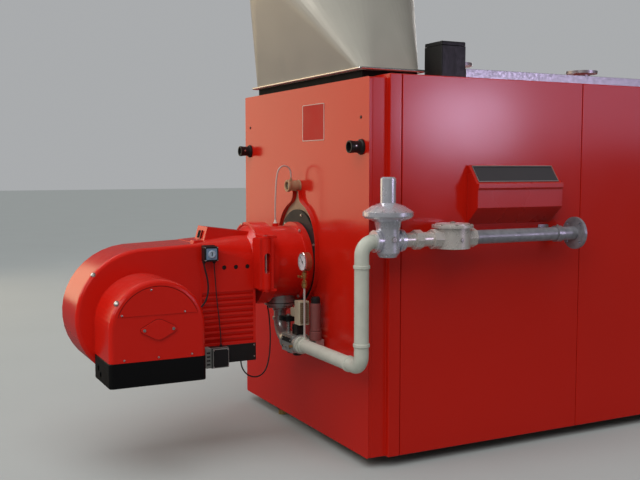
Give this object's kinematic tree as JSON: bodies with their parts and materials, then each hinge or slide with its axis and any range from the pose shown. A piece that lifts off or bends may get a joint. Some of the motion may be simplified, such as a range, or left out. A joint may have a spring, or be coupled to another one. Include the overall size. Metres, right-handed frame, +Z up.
{
  "type": "industrial boiler",
  "caption": "Industrial hot-water boiler in a red sheet casing, with a forced-draught gas burner, gas train, flue hood and control console.",
  "frame": {"origin": "on the floor, in the middle of the underside of the cross-member that joins the two base rails, under the middle of the casing", "axes": "+Z up, -Y towards the burner end, +X towards the side that carries the gas train and the console"},
  "size_m": [2.017, 4.1011, 2.955],
  "materials": {
    "red_panel": "satin powder coat on sheet steel",
    "red_enamel": "gloss enamel on cast aluminium",
    "dark_red_steel": "satin paint on hot-rolled steel",
    "insulation": "mineral wool jacket",
    "insulating_board": "pressed fibre board",
    "black_plate": "heat-resistant black paint",
    "hood_sheet": "brushed sheet",
    "galvanised": "zinc coated",
    "console_glass": "smoked cover",
    "black_plastic": "moulded",
    "black_steel": "satin paint",
    "hose": "silicone hose",
    "cable": "sheathed lead",
    "grey_plastic": "moulded",
    "beige_plastic": "moulded",
    "cast_aluminium": "as cast",
    "gas_pipe": "grey paint on steel pipe",
    "copper_case": "lacquered",
    "brass": "machined",
    "governor_paint": "faded primer on cast body"
  },
  "bodies": {
    "root": {"base_frame": "dark_red_steel", "boiler_body": "insulation", "front_panel": "red_panel", "front_side_left": "red_panel", "front_side_right": "red_panel", "insulation_ring": "insulating_board", "burner_plate": "black_plate", "side_panels_left": "red_panel", "side_panels_right": "red_panel", "top_panel": "red_panel", "rear_panel": "red_panel", "flue_hood": "hood_sheet", "flue_duct": "hood_sheet", "water_nozzles": "galvanised", "top_trunking": "galvanised", "control_console": "red_panel", "console_glass": "console_glass", "front_knobs": "black_plastic", "sight_glass": "insulating_board", "sight_hose": "hose", "burner_neck": "red_enamel", "hinge_flange": "red_enamel", "fan_housing": "red_enamel", "intake_box": "red_enamel", "intake_strip": "black_steel", "fan_cover": "red_enamel", "inspection_cover": "red_enamel", "cover_tray": "black_steel", "pressure_switch": "grey_plastic", "switch_lead": "cable", "actuator_lead": "cable", "valve_lead": "cable", "damper_actuator": "beige_plastic", "gas_inlet": "cast_aluminium", "gas_valve": "cast_aluminium", "valve_coils": "black_plastic", "valve_servo": "beige_plastic", "gas_governor": "governor_paint", "pressure_gauge": "copper_case", "gas_riser": "gas_pipe", "gas_regulator": "cast_aluminium", "gas_filter": "cast_aluminium", "gas_supply_pipe": "gas_pipe", "pipe_bracket": "galvanised", "drain_valve": "brass"}
  },
  "joints": []
}
